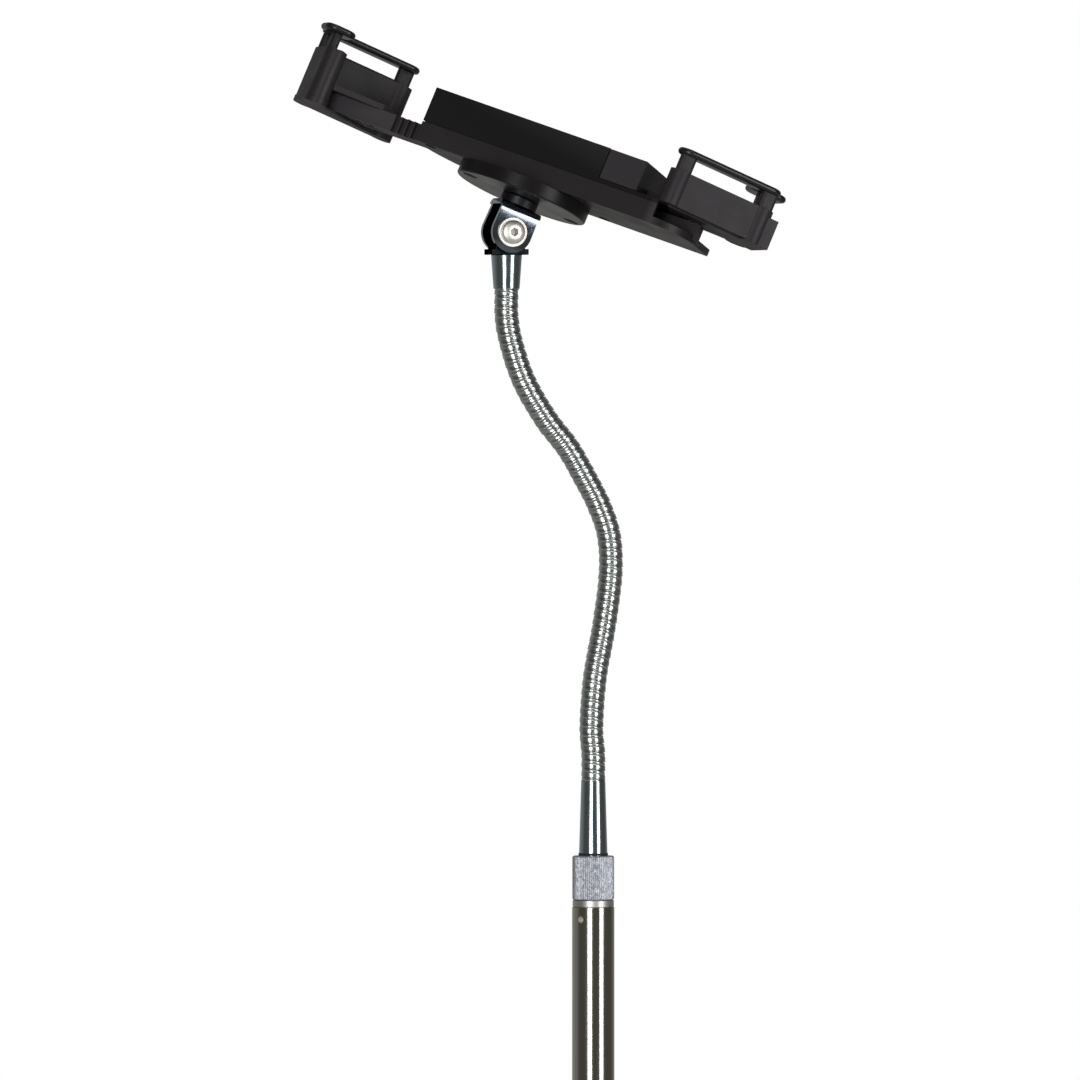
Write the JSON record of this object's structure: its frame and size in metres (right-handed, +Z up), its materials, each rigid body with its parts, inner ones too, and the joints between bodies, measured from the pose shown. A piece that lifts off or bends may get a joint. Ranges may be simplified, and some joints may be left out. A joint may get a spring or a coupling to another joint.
{
  "type": "tablet floor stand",
  "caption": "Floor stand with a round weighted base, telescopic chromed pole, ribbed metal gooseneck and a tilting holder with sliding corner jaws.",
  "frame": {"origin": "on the floor at the centre of the base, on the pole's axis", "axes": "+Z up along the pole, Y along the knuckle's pin with its bolt head towards -Y, +X to the side that the holder tilts down to"},
  "size_m": [0.304, 0.304, 1.2226],
  "materials": {
    "rubber": "matt black rubber",
    "iron": "raw casting",
    "powder_coat": "black powder coat",
    "zinc": "zinc plated",
    "chrome": "polished chrome",
    "nickel": "polished nickel plate",
    "satin_steel": "turned satin steel",
    "satin_nickel": "satin nickel plate",
    "charcoal_abs": "finely grained charcoal ABS",
    "neck_chrome": "chromed ribbed metal hose",
    "aluminium": "fine knurl",
    "white_acetal": "natural acetal",
    "black_steel": "black oxide",
    "spring_steel": "bright spring steel",
    "black_abs": "finely grained black ABS",
    "gloss_abs": "glossy black ABS"
  },
  "bodies": {
    "stand": {"base_feet": "rubber", "base_weight": "iron", "base_cover": "powder_coat", "base_washer": "zinc", "base_bolt": "zinc", "tube_plug": "zinc", "lower_tube": "nickel", "lock_sleeve": "black_abs", "clutch_bush": "white_acetal"},
    "lock": {"lock_collar": "black_abs"},
    "mast": {"guide_bush": "white_acetal", "upper_tube": "nickel", "pole_plug": "satin_steel", "plug_screw": "black_steel"},
    "collar": {"knurled_collar": "aluminium"},
    "neck": {"collar_ring": "rubber", "lower_ferrule": "chrome", "gooseneck": "neck_chrome", "upper_ferrule": "chrome", "knuckle_lug": "chrome"},
    "head": {"clevis": "chrome", "pivot_bolt": "satin_nickel", "pivot_washers": "satin_nickel", "pivot_nut": "zinc", "swivel_post": "black_steel", "post_screw": "zinc", "swivel_washer": "zinc", "swivel_screw": "zinc"},
    "holder": {"mount_disc": "black_abs", "disc_screws": "black_steel", "lower_shell": "black_abs", "upper_shell": "black_abs", "shell_screws": "black_steel", "detent_spring": "spring_steel", "grip_spring": "spring_steel"},
    "left_grip": {"left_arm": "charcoal_abs", "left_jaw": "charcoal_abs", "left_jaw_screws": "black_steel", "left_long_lip": "gloss_abs", "left_short_lip": "gloss_abs", "left_grip_pads": "rubber"},
    "right_grip": {"right_arm": "charcoal_abs", "right_jaw": "charcoal_abs", "right_jaw_screws": "black_steel", "right_long_lip": "gloss_abs", "right_short_lip": "gloss_abs", "right_grip_pads": "rubber"}
  },
  "joints": [
    {"name": "pole_height", "type": "slide", "parent": "stand", "child": "mast", "axis": [0, 0, 1], "range_m": [-0.2, 0.12]},
    {"name": "lock_twist", "type": "hinge", "parent": "stand", "child": "lock", "pos_m": [0, 0, 0.46], "axis": [0, 0, 1], "range_deg": [0, 90]},
    {"name": "collar_turn", "type": "hinge", "parent": "mast", "child": "collar", "pos_m": [0, 0, 0.77], "axis": [0, 0, 1], "continuous": true},
    {"name": "neck_swivel", "type": "hinge", "parent": "mast", "child": "neck", "pos_m": [0, 0, 0.78], "axis": [0, 0, 1], "continuous": true},
    {"name": "holder_tilt", "type": "hinge", "parent": "neck", "child": "head", "pos_m": [-0.0475, 0, 1.1119], "axis": [0, 1, 0], "range_deg": [-68, 41]},
    {"name": "holder_spin", "type": "hinge", "parent": "head", "child": "holder", "pos_m": [-0.03694, 0, 1.13631], "axis": [0.3971, 0, 0.9178], "continuous": true},
    {"name": "left_grip_slide", "type": "slide", "parent": "holder", "child": "left_grip", "axis": [-0.7232, 0.6157, 0.313], "range_m": [-0.0234, 0.039], "deforming": ["detent_spring"]},
    {"name": "right_grip_slide", "type": "slide", "parent": "holder", "child": "right_grip", "axis": [0.7232, -0.6157, -0.313], "range_m": [0, 0.022], "stiffness_N_per_m": 180, "springref_m": -0.02, "deforming": ["grip_spring"]}
  ]
}
